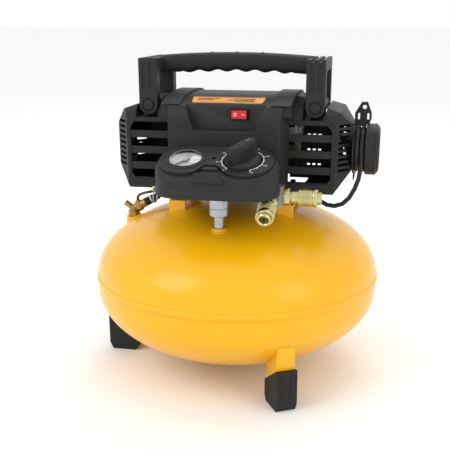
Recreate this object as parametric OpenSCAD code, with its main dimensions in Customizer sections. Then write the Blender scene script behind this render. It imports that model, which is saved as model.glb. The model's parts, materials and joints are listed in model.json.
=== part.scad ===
// Pancake air compressor: flat steel receiver, oil-free belt-driven pump under a slatted shroud,
// regulator console in front, carry handle on top. Millimetres. Origin on the floor under the
// middle of the tank, +X to the right, -Y to the front, +Z up.

/* [Tank] */
// Outside diameter over the seam lap
tank_d = 419; // [380:1:440]
// Depth of each dished head
head_h = 105; // [90:1:105]
// Sheet thickness of the tank shells
tank_wall = 2; // [1.5:0.5:3]
// Height of the seam above the floor
seam_z = 141; // [141:1:145]

/* [Shroud] */
// Half width of the shroud at its end faces
shroud_x = 167; // [165:1:167]
// Half depth of the shroud at its slatted faces
shroud_y = 60; // [58:1:62]
// Half depth of the middle block
block_y = 97; // [94:1:98]
// Height of the shroud's lower edge
shroud_z0 = 274; // [272:1:276]
// Wall thickness of the moulded covers
wall = 3; // [2:0.5:3]

/* [Console] */
// Tilt of the console face, in degrees
console_tilt = 20; // [15:1:25]
// Half width of the console, which is also its end radius
console_r = 41; // [38:1:41]

/* [Handle] */
// Height of the top of the grip
grip_top = 459.5; // [455:0.5:465]
// Height of the handle's bolts
pivot_z = 389; // [388:0.5:390]

/* [Pump] */
// Crank throw
throw = 6; // [4:0.5:6]
// Radius of the large belt pulley
pulley_r = 34; // [32:0.5:34]
// Radius of the motor's toothed pulley
pinion_r = 8.5; // [8:0.5:9]

/* [Cord] */
// Cord diameter
cord_d = 6.4; // [6:0.1:6.4]

/* [Hidden] */
$fn = 64;

yellow = [0.98, 0.72, 0.08];
black = [0.16, 0.16, 0.17];
brass = [0.80, 0.72, 0.42];
silver = [0.72, 0.72, 0.74];
rubber = [0.08, 0.08, 0.08];
red = [0.80, 0.12, 0.16];
copper = [0.75, 0.42, 0.22];

// Tank profile
lap = 2;                                  // how far the upper shell's lap stands proud
lap_h = 9;                                // height of the lap band
head_r = tank_d / 2 - lap;                // outside radius of both shells
upper_z = seam_z + lap_h / 2;             // height where the upper head's curve starts
lower_z = seam_z - 18.5;                  // height where the lower head's curve starts
arc_steps = 30;                           // facets along a head's profile

function head_arc(r, h, z, up) = [for (i = [0:arc_steps])
    [r * cos(90 * i / arc_steps), z + up * h * sin(90 * i / arc_steps)]];
function turned(points) = [for (i = [len(points) - 1:-1:0]) points[i]];

// Places on the tank: [x, y]
riser_at = [-2.5, -116];
check_at = [-165, 15];
drain_at = [-59, 102];
drain_z = 24;
bung_r = 12;
riser_bung_r = 9;
bung_bore_r = 6.05;

// Feet
foot_angles = [30, -90, 150];
leg_w = 25.6;
leg_t = 2.5;
leg_r = 198;
boot_w = 29;

// Pump axes: [y, z]
crank_at = [6, 312];
motor_at = [-6, 356];
rod_x = -30;                              // plane of the rod and the cylinder
rod_l = 46;
bore_r = 29.5;                            // the throw is left free round the piston
piston_r = 23;
bearing_r = 13;
journal_r = 5;
motor_shaft_r = 4;
stator_w = 76;
stator_x = [28, 70];
base_z = 266;

// Console
console_y = -138;
console_z = 331;
console_x = 41;
console_floor = 286;
gauge_x = -41.5;
knob_x = 34;
gauge_r = 23;
regulator_bore_r = 5;
knob_h = 25;                              // over the console's face

// Manifold
manifold_y = -115;
coupler_front_at = [67, -124, 279];
coupler_right_at = [84, -115, 281];
coupler_drop = 20;                        // how far the front coupler points down, in degrees
coupler_l = 50;
coupler_r = 9;
mouth_r = 6.05;
mouth_l = 18;
relief_at = [-70, -114, 285];

// Switch
rocker_at = [19, -74, 382];

// Shroud outline: XZ of the end view, YZ of the side views
slat_x = [80, 140];
slat_z0 = 289;
slat_pitch = 22;
slat_gap = 12;
rear_slat_x = [88, 118];
rear_gap = 3;
blade_d = 11;                             // how far each slat reaches inwards
arm_x = 116;
arm_w = 26;
arm_y = 51;

// Reel and cord
reel_x = shroud_x;
reel_z = 329;
reel_a = 10;                              // half of the winding's straight run
coil_r = 31.6;
coil_in_r = 18.6;
coil_w = 28;                              // four turns side by side, in two layers
flange_t = 2.2;
coil_x = reel_x + flange_t + 0.2;
cap_x = coil_x + coil_w - 13;
cap_end = 203;
cap_r = 34;
gland_at = [118, -40, 268];
cord_route = [[118, -40, 268], [125.5, -40.5, 261], [135, -42, 256], [146, -44, 255],
    [157, -46, 259], [166, -47, 268], [173, -46.5, 281], [177.5, -44, 294],
    [179.5, -41, 307], [179.9, -39, 318], [179.9, -38.4, 329]];
tail_route = [[172.9, 38.4, 329], [173.2, 39.3, 322], [174.2, 42.1, 315], [175.6, 46.8, 308.4],
    [177.4, 53.2, 303], [179.3, 60.6, 299.4], [181, 68.4, 298]];
plug_at = [181, 68.4, 298];
hose_r = 5.2;
hose_route = [[-69, 72.9, 324], [-69, 63.5, 324], [-72, 56, 323], [-80, 50, 321],
    [-91, 49.5, 317], [-102, 50, 310], [-111, 50, 300], [-116, 47.5, 287], [-118.5, 41, 275],
    [-119.5, 32, 262], [-122, 22.5, 252], [-126.5, 16.6, 245.6], [-131.8, 15, 242.2],
    [-145, 15, 235]];
tube_route = [[-158, 15, 238.1], [-158, 14.5, 242.5], [-152, 5, 248], [-140, -14, 255],
    [-124, -34, 262], [-106, -48, 268], [-84, -51, 276], [-60, -53, 290], [-36, -56, 306],
    [-12, -60, 322], [4, -62, 332], [8, -62, 341]];

// ---- helpers ----
module ext_y(points, y0, y1) {
    translate([0, y1, 0]) rotate([90, 0, 0]) linear_extrude(height = y1 - y0) polygon(points);
}
module ext_x(points, x0, x1) {
    translate([x0, 0, 0]) rotate([90, 0, 90]) linear_extrude(height = x1 - x0) polygon(points);
}
module rod_along_x(r, x0, x1, y, z) {
    translate([x0, y, z]) rotate([0, 90, 0]) cylinder(r = r, h = x1 - x0);
}
module rod_along_y(r, y0, y1, x, z) {
    translate([x, y0, z]) rotate([-90, 0, 0]) cylinder(r = r, h = y1 - y0);
}
module box(x, y, z) {
    translate([x[0], y[0], z[0]]) cube([x[1] - x[0], y[1] - y[0], z[1] - z[0]]);
}
module both_sides() {
    children();
    mirror([1, 0, 0]) children();
}
module both_ends() {
    children();
    mirror([0, 1, 0]) children();
}
module at_foot(angle) {
    rotate([0, 0, angle]) children();
}
module on_console(x) {
    translate([x, console_y, console_z]) rotate([console_tilt, 0, 0]) children();
}
module stadium_x(r, a, x0, x1) {
    rotate([90, 0, 90]) translate([0, 0, x0]) linear_extrude(height = x1 - x0) {
        square([2 * a, 2 * r], center = true);
        translate([a, 0]) circle(r = r);
        translate([-a, 0]) circle(r = r);
    }
}
function unit(v) = v / norm(v);
function tangent(p, i) = unit(p[min(i + 1, len(p) - 1)] - p[max(i - 1, 0)]);
module tube(route, r, ref, sides = 10) {
    n = len(route);
    rings = [for (i = [0:n - 1]) let (t = tangent(route, i), u = unit(cross(t, ref)), v = cross(t, u))
        for (k = [0:sides - 1]) route[i] + r * (cos(360 * k / sides) * u + sin(360 * k / sides) * v)];
    quads = [for (i = [0:n - 2]) for (k = [0:sides - 1])
        [i * sides + k, i * sides + (k + 1) % sides, (i + 1) * sides + (k + 1) % sides,
            (i + 1) * sides + k]];
    start = [for (k = [sides - 1:-1:0]) k];
    end = [for (k = [0:sides - 1]) (n - 1) * sides + k];
    polyhedron(points = rings, faces = concat([start], quads, [end]));
}

// ---- tank ----
module tank_form() {
    rotate_extrude($fn = 180) polygon(concat(
        [[0, upper_z + head_h]], turned(head_arc(head_r, head_h, upper_z, 1)),
        head_arc(head_r, head_h, lower_z, -1), [[0, lower_z - head_h]]));
}
module bung_at(p, z0, z1, r) {
    translate([p[0], p[1], z0]) cylinder(r = r, h = z1 - z0);
}
module tank_upper_shell() {
    weld_h = 2;
    color(yellow) difference() {
        union() {
            rotate_extrude($fn = 180) polygon(concat(
                turned(head_arc(head_r, head_h, upper_z, 1)),
                [[head_r + lap, upper_z - 1], [head_r + lap, upper_z - lap_h],
                    [head_r, upper_z - lap_h], [head_r, upper_z - 1]],
                head_arc(head_r - tank_wall, head_h - tank_wall, upper_z, 1)));
            rotate_extrude($fn = 180) polygon([[head_r, upper_z - lap_h],
                [head_r + lap, upper_z - lap_h], [head_r, upper_z - lap_h - weld_h]]);
        }
        bung_at(riser_at, 200, 300, riser_bung_r);
        bung_at(check_at, 150, 300, bung_r);
    }
}
module tank_lower_shell() {
    color(yellow) difference() {
        rotate_extrude($fn = 180) polygon(concat(
            [[head_r, upper_z - 1.5]], head_arc(head_r, head_h, lower_z, -1),
            turned(head_arc(head_r - tank_wall, head_h - tank_wall, lower_z, -1)),
            [[head_r - tank_wall, upper_z - 1.5]]));
        bung_at(drain_at, 0, 80, bung_r);
    }
}
module tank_bungs() {
    color(yellow) difference() {
        union() {
            bung_at(riser_at, 222, 235, riser_bung_r);
            bung_at(check_at, 197, 213, bung_r);
            bung_at(drain_at, 31, 45, bung_r);
        }
        bung_at(riser_at, 200, 300, bung_bore_r);
        bung_at(check_at, 150, 300, bung_bore_r);
        bung_at(drain_at, 0, 80, bung_bore_r);
    }
}
module pump_saddles() {
    top = 255;
    color(yellow) difference() {
        both_sides() {
            box([66, 90], [-52, 52], [top - 3, top]);
            both_ends() box([66, 90], [49, 52], [225, top]);
        }
        tank_form();
    }
}
module leg_channel() {
    box([-leg_w / 2, leg_w / 2], [-leg_r, -leg_r + leg_t], [12, 92]);
    both_sides() box([leg_w / 2 - leg_t, leg_w / 2], [-leg_r, -160], [12, 92]);
}
module leg_brackets() {
    color(yellow) for (a = foot_angles) difference() {
        at_foot(a) leg_channel();
        tank_form();
    }
}
module rubber_feet() {
    color(rubber) for (a = foot_angles) at_foot(a) difference() {
        union() {
            ext_x([[-162, 0], [-199, 0], [-204, 11], [-204, 59], [-198, 59], [-157, 31],
                [-157, 9]], -boot_w / 2, boot_w / 2);
            both_sides() box([5, 8], [-205, -203], [13, 56]);
        }
        leg_channel();
    }
}

// ---- pump ----
module base_plate() {
    color(silver) difference() {
        box([-94, 94], [-46, 46], [base_z, base_z + 3]);
        both_sides() both_ends() translate([78, 36, 250]) cylinder(r = 4, h = 40);
        box([-20, 20], [-30, 30], [base_z - 1, base_z + 4]);
    }
}
module isolator_mounts() {
    color(rubber) both_sides() both_ends() translate([78, 36, 255]) {
        cylinder(r = 11, h = 3.5);
        cylinder(r = 8, h = base_z - 255);
        translate([0, 0, base_z - 258.5]) cylinder(r = 11, h = 3.5);
        translate([0, 0, base_z - 255]) cylinder(r = 4, h = 8);
    }
}
module case_wall(x0, x1, with_motor) {
    foot_z = base_z + 3;
    difference() {
        union() {
            ext_x(with_motor
                ? [[-40, foot_z], [46, foot_z], [46, 346], [34, 352], [30, 388], [-38, 388],
                    [-44, 340]]
                : [[-36, foot_z], [46, foot_z], [46, 350], [-20, 350], [-36, 330]], x0, x1);
        }
        rod_along_x(bearing_r, x0 - 1, x1 + 1, crank_at[0], crank_at[1]);
        if (with_motor) rod_along_x(11, x0 - 1, x1 + 1, motor_at[0], motor_at[1]);
    }
}
module crankcase() {
    flange_y = 40;
    color(silver) difference() {
        union() {
            case_wall(-58, -50, false);
            case_wall(15, 23, true);
            box([-58, 23], [-36, 46], [base_z + 3, base_z + 7]);
            box([-68, 23], [flange_y, 46], [base_z + 3, 350]);
        }
        rod_along_x(pulley_r + 3.5, -9.5, 9.5, crank_at[0], crank_at[1]);
        rod_along_y(bore_r, 30, 50, rod_x, crank_at[1]);
        for (sx = [-1, 1]) for (sz = [-1, 1])
            rod_along_y(2.5, 30, 50, rod_x + 31 * sx, crank_at[1] + 31 * sz);
    }
}
module crankshaft() {
    color(silver) difference() {
        union() {
            rod_along_x(journal_r, -106, 24, crank_at[0], crank_at[1]);
            rod_along_x(14, rod_x - 8, rod_x + 8, crank_at[0] + throw, crank_at[1]);
            intersection() {
                rod_along_x(27, -48, -40, crank_at[0], crank_at[1]);
                box([-60, -30], [-30, crank_at[0] + 8], [200, 400]);
            }
        }
        rod_along_x(1.6, 14, 25, crank_at[0], crank_at[1]);
    }
}
module bearing_ring(x0, x1, at, r_in, r_out) {
    difference() {
        rod_along_x(r_out, x0, x1, at[0], at[1]);
        rod_along_x(r_in, x0 - 1, x1 + 1, at[0], at[1]);
    }
}
module ball_bearings() {
    color(silver) {
        bearing_ring(-58, -50, crank_at, journal_r + 0.05, bearing_r);
        bearing_ring(15, 23, crank_at, journal_r + 0.05, bearing_r);
        bearing_ring(15, 22, motor_at, motor_shaft_r + 0.05, 11);
        bearing_ring(stator_x[1] + 17, stator_x[1] + 24, motor_at, motor_shaft_r + 0.05, 11);
    }
}
module crank_pulley() {
    color(black) difference() {
        union() {
            rod_along_x(pulley_r, -7, 7, crank_at[0], crank_at[1]);
            rod_along_x(pulley_r + 1.5, -8, -7, crank_at[0], crank_at[1]);
            rod_along_x(pulley_r + 1.5, 7, 8, crank_at[0], crank_at[1]);
        }
        rod_along_x(journal_r, -10, 10, crank_at[0], crank_at[1]);
        for (i = [0:5]) translate([0, crank_at[0], crank_at[1]]) rotate([60 * i, 0, 0])
            rod_along_x(6.5, -10, 10, 21, 0);
    }
}
module cooling_fan() {
    blades = 9;
    fan_r = 34;
    color(black) difference() {
        union() {
            rod_along_x(13, -105, -84, crank_at[0], crank_at[1]);
            rod_along_x(fan_r, -87, -84, crank_at[0], crank_at[1]);
            translate([0, crank_at[0], crank_at[1]]) for (i = [0:blades - 1])
                rotate([360 * i / blades, 0, 0])
                    box([-105, -86], [-1.2, 1.2], [10, fan_r]);
        }
        rod_along_x(journal_r, -110, -80, crank_at[0], crank_at[1]);
    }
}
module drive_belt() {
    gap = 0.3;
    thick = 1.8;
    d = [crank_at[0] - motor_at[0], crank_at[1] - motor_at[1]];
    dist = norm(d);
    lean = atan2(d[1], d[0]);
    module loop(extra) {
        hull() {
            circle(r = pinion_r + extra);
            translate([dist, 0]) circle(r = pulley_r + extra);
        }
    }
    color(rubber) translate([-6.5, motor_at[0], motor_at[1]]) rotate([90, 0, 90])
        rotate([0, 0, lean]) linear_extrude(height = 13) difference() {
            loop(gap + thick);
            loop(gap);
        }
}
module rod_bearing() {
    color(silver) bearing_ring(rod_x - 5, rod_x + 5, [crank_at[0] + throw, crank_at[1]], 14.05, 20);
}
module connecting_rod() {
    y0 = crank_at[0] + throw;
    color(silver) difference() {
        union() {
            rod_along_x(25, rod_x - 5, rod_x + 5, y0, crank_at[1]);
            box([rod_x - 4, rod_x + 4], [y0, y0 + rod_l - 3], [crank_at[1] - 8, crank_at[1] + 8]);
            rod_along_y(piston_r - 1, y0 + rod_l - 4, y0 + rod_l, rod_x, crank_at[1]);
            rod_along_y(piston_r - 5, y0 + rod_l + 1.5, y0 + rod_l + 4, rod_x, crank_at[1]);
            rod_along_y(4, y0 + rod_l, y0 + rod_l + 3, rod_x, crank_at[1]);
        }
        rod_along_x(20, rod_x - 6, rod_x + 6, y0, crank_at[1]);
    }
}
module piston_cup() {
    y0 = crank_at[0] + throw + rod_l;
    color([0.35, 0.28, 0.22]) difference() {
        union() {
            rod_along_y(piston_r, y0, y0 + 1.5, rod_x, crank_at[1]);
            rod_along_y(piston_r, y0, y0 + 4, rod_x, crank_at[1]);
        }
        rod_along_y(4, y0 - 1, y0 + 6, rod_x, crank_at[1]);
        rod_along_y(piston_r - 1.5, y0 + 1.5, y0 + 6, rod_x, crank_at[1]);
    }
}
module hose_clearance() {
    rod_along_y(6.6, 40, 73.5, hose_route[0][0], hose_route[0][2]);
}
module cylinder_barrel() {
    color(silver) difference() {
        union() {
            rod_along_y(bore_r + 3, 46, 70, rod_x, crank_at[1]);
            for (y = [48, 54, 60, 66]) rod_along_y(38.5, y, y + 2, rod_x, crank_at[1]);
        }
        rod_along_y(bore_r, 40, 75, rod_x, crank_at[1]);
        hose_clearance();
    }
}
module head_square(y0, y1) {
    box([rod_x - 37, rod_x + 37], [y0, y1], [crank_at[1] - 37, crank_at[1] + 37]);
}
module head_bolt_places(r, y0, y1) {
    for (sx = [-1, 1]) for (sz = [-1, 1])
        rod_along_y(r, y0, y1, rod_x + 31 * sx, crank_at[1] + 31 * sz);
}
module valve_plate() {
    color(silver) difference() {
        head_square(70, 73);
        head_bolt_places(2.5, 60, 80);
        for (s = [-1, 1]) rod_along_y(3, 60, 80, rod_x + 11 * s, crank_at[1]);
        hose_clearance();
    }
}
module cylinder_head() {
    color(silver) difference() {
        union() {
            head_square(73, 83);
            for (i = [-4:4]) box([rod_x + 7.5 * i - 1, rod_x + 7.5 * i + 1], [83, 91],
                [crank_at[1] - 24, crank_at[1] + 37]);
            rod_along_x(5.5, rod_x - 39, rod_x - 30, 79, 324);
            rod_along_y(5.5, 73, 84.5, rod_x - 39, 324);
        }
        head_bolt_places(2.5, 60, 100);
        head_bolt_places(5.2, 83, 100);
        box([rod_x - 24, rod_x - 3], [72, 79], [crank_at[1] - 18, crank_at[1] + 18]);
        box([rod_x + 3, rod_x + 24], [72, 79], [crank_at[1] - 18, crank_at[1] + 18]);
        rod_along_x(3, rod_x - 39, rod_x - 20, 79, 324);
        rod_along_y(3, 72, 79, rod_x - 39, 324);
        translate([rod_x + 12, 78, 340]) cylinder(r = 5, h = 20);
    }
}
module head_bolts() {
    color(silver) {
        head_bolt_places(2.5, 38, 83);
        head_bolt_places(4.2, 83, 88);
    }
}
module intake_filter() {
    color(black) translate([rod_x + 12, 78, 0]) {
        translate([0, 0, 341]) cylinder(r = 5, h = 10);
        translate([0, 0, 350]) cylinder(r = 14, h = 20);
        for (z = [352:4:366]) translate([0, 0, z]) cylinder(r = 15, h = 2);
    }
}
module armature() {
    color(silver) {
        rod_along_x(motor_shaft_r, -8, 94, motor_at[0], motor_at[1]);
        rod_along_x(22, stator_x[0], stator_x[1], motor_at[0], motor_at[1]);
        rod_along_x(18, stator_x[0] - 4, stator_x[1] + 4, motor_at[0], motor_at[1]);
        rod_along_x(13, stator_x[1] + 5, 86, motor_at[0], motor_at[1]);
        rod_along_x(pinion_r, -7, 7, motor_at[0], motor_at[1]);
    }
}
module motor_stator() {
    half = stator_w / 2;
    cut = 9;
    color(silver) difference() {
        translate([0, motor_at[0], motor_at[1]]) ext_x([[-half, -half + cut],
            [-half + cut, -half], [half - cut, -half], [half, -half + cut], [half, half - cut],
            [half - cut, half], [-half + cut, half], [-half, half - cut]],
            stator_x[0], stator_x[1]);
        rod_along_x(22.5, 0, 100, motor_at[0], motor_at[1]);
    }
}
module field_windings() {
    ends = [[stator_x[0] - 4.5, stator_x[0]], [stator_x[1], stator_x[1] + 6]];
    color(copper) for (x = ends) difference() {
        rod_along_x(30.5, x[0], x[1], motor_at[0], motor_at[1]);
        rod_along_x(24, 0, 100, motor_at[0], motor_at[1]);
    }
}
module at_motor() {
    translate([0, motor_at[0], motor_at[1]]) children();
}
module motor_end_cap() {
    x0 = stator_x[1];
    color(silver) difference() {
        union() {
            at_motor() {
                rod_along_x(36, x0 + 18, x0 + 21.5, 0, 0);
                rod_along_x(15, x0 + 16, x0 + 25.5, 0, 0);
                for (i = [0:3]) rotate([45 + 90 * i, 0, 0]) box([x0, x0 + 20], [31, 36], [-6, 6]);
                for (a = [0, 180]) rotate([a, 0, 0]) box([x0 + 6, x0 + 18], [14, 30], [-5, 5]);
            }
        }
        at_motor() {
            rod_along_x(11, x0 + 17, x0 + 24, 0, 0);
            rod_along_x(motor_shaft_r + 1, x0 + 10, x0 + 40, 0, 0);
            for (i = [0:7]) rotate([22.5 + 45 * i, 0, 0])
                rod_along_x(4.5, x0 + 17, x0 + 26, 25, 0);
        }
    }
}
module outlet_hose() {
    color(rubber) tube(hose_route, hose_r, [0, 1, -1]);
}
module along(p, q) {
    d = q - p;
    translate(p) rotate([0, acos(d[2] / norm(d)), atan2(d[1], d[0])]) children();
}
module hose_ferrules() {
    n = len(hose_route) - 1;
    color(silver) {
        along(hose_route[0], hose_route[1]) difference() {
            cylinder(r = hose_r + 0.9, h = 9);
            translate([0, 0, -1]) cylinder(r = hose_r + 0.2, h = 20);
        }
        along(hose_route[n], hose_route[n - 1]) difference() {
            cylinder(r = hose_r + 1.3, h = 14);
            translate([0, 0, -1]) cylinder(r = hose_r + 0.2, h = 20);
        }
    }
}
module check_valve() {
    p = [check_at[0], check_at[1], 224];
    end = hose_route[len(hose_route) - 1];
    color(brass) difference() {
        union() {
            translate([p[0], p[1], 196]) cylinder(r = 6, h = 20);
            translate([p[0], p[1], 213]) cylinder(r = 9.5, h = 8, $fn = 6);
            translate([p[0], p[1], 220]) cylinder(r = 7, h = 8);
            along(p, end) cylinder(r = 6.5, h = norm(end - p));
            along(p, end) translate([0, 0, 7]) cylinder(r = 8.5, h = 7, $fn = 6);
            translate(p) rotate([0, -55, 0]) cylinder(r = 4.5, h = 16);
            translate([-158, check_at[1], 226]) cylinder(r = 3.4, h = 12);
        }
        translate([p[0], p[1], 190]) cylinder(r = 2.5, h = 30);
    }
}
module unloader_tube() {
    color(black) tube(tube_route, 2, [0, 1, 0], 8);
}

// ---- control side ----
module pressure_switch() {
    color(black) translate(rocker_at) cylinder(r = 1.15, h = 13, center = true);
    color(black) difference() {
        union() {
            box([0, 40], [-75.5, -48], [341, 388.5]);
            box([4, 34], [-76, -75.5], [374, 388.5]);
        }
        box([rocker_at[0] - 12, rocker_at[0] + 12], [-80, -62],
            [rocker_at[2] - 6.5, rocker_at[2] + 6.5]);
    }
}
module switch_rocker() {
    color(red) translate(rocker_at) rotate([0, 0, -6]) difference() {
        translate([0, 0, -5.5]) linear_extrude(height = 11)
            polygon([[-10.5, -8.5], [0, -6.5], [10.5, -8.5], [9.5, -1], [4, 4], [-4, 4],
                [-9.5, -1]]);
        translate([0, 0, -6]) cylinder(r = 1.2, h = 12);
    }
}
module manifold() {
    color(silver) difference() {
        union() {
            box([-58, 84], [manifold_y - 9, manifold_y + 9], [278, 296]);
            box([58, 84], [manifold_y - 9, manifold_y + 9], [269, 290]);
            rod_along_x(6.5, relief_at[0], -58, relief_at[1], relief_at[2]);
        }
        rod_along_x(4, -80, 78, relief_at[1], relief_at[2]);
        translate([riser_at[0], riser_at[1], 270]) cylinder(r = 6, h = 15);
    }
}
module manifold_riser() {
    color(silver) translate([riser_at[0], riser_at[1], 0]) difference() {
        union() {
            translate([0, 0, 224]) cylinder(r = 6, h = 60);
            translate([0, 0, 252]) cylinder(r = 12.7, h = 26);
            translate([0, 0, 235]) cylinder(r = 7, h = 18);
        }
        translate([0, 0, 220]) cylinder(r = 2.5, h = 70);
    }
}
module regulator_body() {
    color(silver) difference() {
        on_console(knob_x) translate([0, 0, -40]) {
            cylinder(r = 19, h = 30);
            cylinder(r = 12, h = 39.5);
        }
        on_console(knob_x) translate([0, 0, -20]) cylinder(r = regulator_bore_r, h = 30);
        box([-90, 90], [manifold_y - 9, manifold_y + 9], [250, 296]);
        box([-90, 90], [-97, 0], [250, 400]);
    }
}
module regulator_knob() {
    color(black) on_console(knob_x) {
        translate([0, 0, -14]) cylinder(r = regulator_bore_r - 0.05, h = 16);
        translate([0, 0, 0.6]) cylinder(r1 = 24, r2 = 22.5, h = 6);
        rotate([0, 0, -35]) intersection() {
            translate([0, 0, 4]) cylinder(r = 26.5, h = knob_h - 4);
            ext_y([[-10, 2], [-8, knob_h], [8, knob_h], [10, 2]], -27, 27);
        }
    }
}
module gauge_case() {
    color(black) difference() {
        union() {
            on_console(gauge_x) translate([0, 0, -20]) cylinder(r = gauge_r, h = 22);
            on_console(gauge_x) cylinder(r = gauge_r + 1.5, h = 2.5);
            on_console(gauge_x) translate([0, 0, -42]) cylinder(r = 6, h = 24);
        }
        on_console(gauge_x) translate([0, 0, -5]) cylinder(r = gauge_r - 1.5, h = 10);
        on_console(gauge_x) translate([0, 0, -8]) cylinder(r = 1.5, h = 10);
        box([-90, 90], [manifold_y - 9, manifold_y + 9], [250, 296]);
    }
}
module gauge_dial() {
    color("white") on_console(gauge_x) translate([0, 0, -5]) difference() {
        cylinder(r = gauge_r - 1.6, h = 0.8);
        translate([0, 0, -1]) cylinder(r = 1.08, h = 3);
    }
}
module gauge_needle() {
    color(black) on_console(gauge_x) rotate([0, 0, 135]) {
        translate([0, 0, -7]) cylinder(r = 1, h = 5);
        translate([0, 0, -3.5]) cylinder(r = 2.4, h = 1.6);
        translate([0, 0, -3.2]) linear_extrude(height = 0.8)
            polygon([[-0.9, -6], [0.9, -6], [0.5, 17], [-0.5, 17]]);
    }
}
module gauge_lens() {
    color([0.8, 0.9, 1, 0.3]) on_console(gauge_x) cylinder(r = gauge_r - 1.5, h = 1.2);
}
module relief_valve_body() {
    color(brass) difference() {
        union() {
            rod_along_x(4, relief_at[0] - 4, relief_at[0] + 8, relief_at[1], relief_at[2]);
            translate([relief_at[0] - 7, relief_at[1], relief_at[2]]) rotate([0, 90, 0])
                cylinder(r = 8, h = 7, $fn = 6);
            rod_along_x(6.2, relief_at[0] - 15, relief_at[0] - 6, relief_at[1], relief_at[2]);
        }
        rod_along_x(2.1, relief_at[0] - 20, relief_at[0] - 3, relief_at[1], relief_at[2]);
    }
}
module relief_stem() {
    color(brass) difference() {
        union() {
            rod_along_x(2, relief_at[0] - 23, relief_at[0] - 4, relief_at[1], relief_at[2]);
            rod_along_x(3.2, relief_at[0] - 24, relief_at[0] - 18.5, relief_at[1], relief_at[2]);
        }
        rod_along_y(1.6, -130, -100, relief_at[0] - 21, relief_at[2]);
    }
}
module relief_ring() {
    ring_r = 9.5;
    color(silver) translate([relief_at[0] - 21, relief_at[1], relief_at[2] - ring_r])
        rotate([0, 90, 0]) rotate_extrude() translate([ring_r, 0]) circle(r = 0.8);
}
module coupler_body() {
    color(brass) difference() {
        union() {
            translate([0, 0, -6]) cylinder(r = 5.5, h = 10);
            cylinder(r = 12, h = 9, $fn = 6);
            cylinder(r = coupler_r, h = coupler_l);
        }
        translate([0, 0, coupler_l - mouth_l]) cylinder(r = mouth_r, h = mouth_l + 1);
        translate([0, 0, -7]) cylinder(r = 3, h = 60);
    }
}
module coupler_sleeve() {
    color(brass) difference() {
        union() {
            translate([0, 0, coupler_l - 30]) cylinder(r = 11.4, h = 25);
            for (z = [30, 8]) translate([0, 0, coupler_l - z]) cylinder(r = 12.2, h = 3);
            for (z = [24:-4:12]) translate([0, 0, coupler_l - z]) cylinder(r = 12, h = 1.6);
        }
        cylinder(r = coupler_r + 0.08, h = 60);
    }
}
module at_front_coupler() {
    translate(coupler_front_at) rotate([90 + coupler_drop, 0, 0]) children();
}
module at_right_coupler() {
    translate(coupler_right_at) rotate([0, 90, 0]) children();
}
module coupler_bodies() {
    difference() {
        at_front_coupler() coupler_body();
        color(brass) box([58, 84], [manifold_y - 9, manifold_y + 9], [269, 296]);
    }
    difference() {
        at_right_coupler() coupler_body();
        color(brass) box([58, 84], [manifold_y - 9, manifold_y + 9], [269, 296]);
    }
}
module coupler_front_sleeve() {
    at_front_coupler() coupler_sleeve();
}
module coupler_right_sleeve() {
    at_right_coupler() coupler_sleeve();
}
module at_drain() {
    translate([drain_at[0], drain_at[1], drain_z]) rotate([0, 0, -150]) rotate([90, 0, 0])
        children();
}
module drain_valve_body() {
    color(brass) {
        translate([drain_at[0], drain_at[1], drain_z - 6]) cylinder(r = 6, h = 24);
        translate([drain_at[0], drain_at[1], drain_z + 3]) cylinder(r = 9, h = 4, $fn = 6);
        difference() {
            at_drain() cylinder(r = 7, h = 30);
            at_drain() translate([0, 0, 14]) cylinder(r = 3.05, h = 20);
        }
    }
}
module drain_knob() {
    color(brass) {
        at_drain() translate([0, 0, 16]) cylinder(r = 3, h = 20);
        at_drain() translate([0, 0, 30.5]) cylinder(r = 8, h = 5);
        at_drain() translate([-14, -2, 35]) cube([28, 4, 4]);
    }
}

// ---- covers ----
module stadium_z(r, a, z0, z1) {
    translate([0, console_y, z0]) linear_extrude(height = z1 - z0) {
        square([2 * a, 2 * r], center = true);
        translate([a, 0]) circle(r = r);
        translate([-a, 0]) circle(r = r);
    }
}
module console_form(t) {
    difference() {
        stadium_z(console_r - t, console_x, console_floor - (t > 0 ? 1 : 0), 360);
        on_console(0) translate([-200, -100, -t]) cube([400, 200, 100]);
    }
}
module console() {
    color(black) difference() {
        console_form(0);
        console_form(wall);
        on_console(gauge_x) translate([0, 0, -30]) cylinder(r = gauge_r, h = 40);
        on_console(knob_x) translate([0, 0, -30]) cylinder(r = 12.2, h = 40);
        on_console(-3.5) translate([0, 0, -30]) cylinder(r = 2.5, h = 40);
        box([52, 100], [manifold_y - 9, manifold_y + 9], [280, 296]);
        rod_along_x(8.5, -100, -52, relief_at[1], relief_at[2]);
    }
}

function mirrored(p) = concat(p, [for (i = [len(p) - 1:-1:0]) [-p[i][0], p[i][1]]]);
function end_view(t) = mirrored([[144 - 0.4 * t, shroud_z0 + t], [shroud_x - t, 304 + 0.4 * t],
    [shroud_x - t, 363 - 0.4 * t], [151 - 0.4 * t, 384 - t], [92 - 0.3 * t, 403 - t]]);
function side_view(t) = mirrored([[shroud_y - t, shroud_z0 + t], [shroud_y - t, 381 - 0.6 * t],
    [26, 404 - t]]);
function plan_view(t) = [for (s = [[1, 1], [-1, 1], [-1, -1], [1, -1]])
    each s[0] * s[1] > 0
        ? [[s[0] * (shroud_x - t), s[1] * (32 - 0.4 * t)], [s[0] * (146 - 0.4 * t), s[1] * (shroud_y - t)]]
        : [[s[0] * (146 - 0.4 * t), s[1] * (shroud_y - t)], [s[0] * (shroud_x - t), s[1] * (32 - 0.4 * t)]]];
function block_side(t) = mirrored([[block_y - t, shroud_z0 + 3 + t], [block_y - t, 379 - 0.4 * t],
    [87 - 0.6 * t, 393 - t], [50, 402 - t], [26, 403.5 - t]]);
function block_plan(t) = [[84 - t, -54], [76 - t, -block_y + t], [-76 + t, -block_y + t],
    [-84 + t, -54], [-84 + t, 54], [-76 + t, block_y - t], [76 - t, block_y - t], [84 - t, 54]];
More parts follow.
